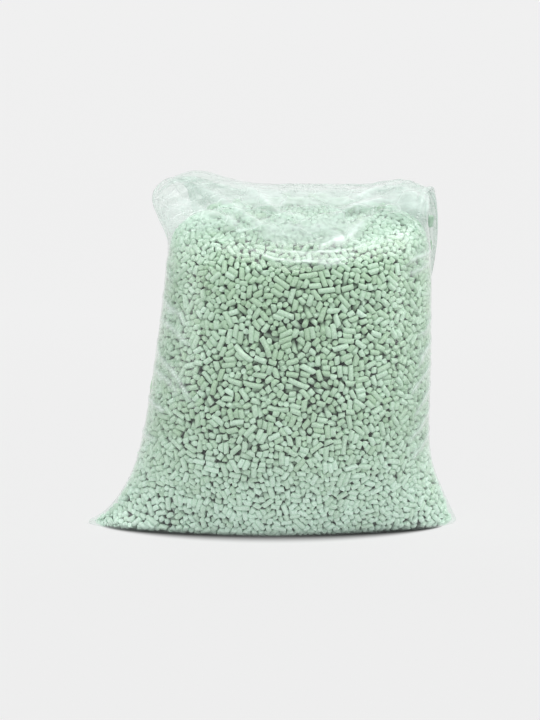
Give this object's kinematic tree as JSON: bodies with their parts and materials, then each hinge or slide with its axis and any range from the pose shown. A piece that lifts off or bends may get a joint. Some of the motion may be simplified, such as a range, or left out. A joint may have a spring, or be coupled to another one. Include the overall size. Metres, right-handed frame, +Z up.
{
  "type": "cat litter bag",
  "caption": "Clear film pillow bag standing upright, full of short extruded cat litter pellets, with its loose neck folded over behind.",
  "frame": {"origin": "centre of the bag's footprint box, on the floor it stands on", "axes": "+Z up; the bag's broad front faces -Y; X runs along its bottom weld and +X is the side with the hanging fold of film"},
  "size_m": [0.2287, 0.1308, 0.2201],
  "materials": {
    "clear_film": "clear blown polyethylene film, glossy, soft wrinkles",
    "litter_pellet": "dry pressed plant fibre, pale mint green, matte"
  },
  "bodies": {
    "root": {"film_bag": "clear_film", "pellet_fill": "litter_pellet", "stray_pellet_upper": "litter_pellet", "stray_pellet_lower": "litter_pellet", "loose_pellet_01": "litter_pellet", "loose_pellet_02": "litter_pellet", "loose_pellet_03": "litter_pellet", "loose_pellet_04": "litter_pellet", "loose_pellet_05": "litter_pellet", "loose_pellet_06": "litter_pellet", "loose_pellet_07": "litter_pellet", "loose_pellet_08": "litter_pellet", "loose_pellet_09": "litter_pellet", "loose_pellet_10": "litter_pellet", "loose_pellet_11": "litter_pellet", "loose_pellet_12": "litter_pellet", "loose_pellet_13": "litter_pellet", "loose_pellet_14": "litter_pellet", "loose_pellet_15": "litter_pellet", "loose_pellet_16": "litter_pellet", "loose_pellet_17": "litter_pellet", "loose_pellet_18": "litter_pellet", "loose_pellet_19": "litter_pellet", "loose_pellet_20": "litter_pellet"}
  },
  "joints": []
}
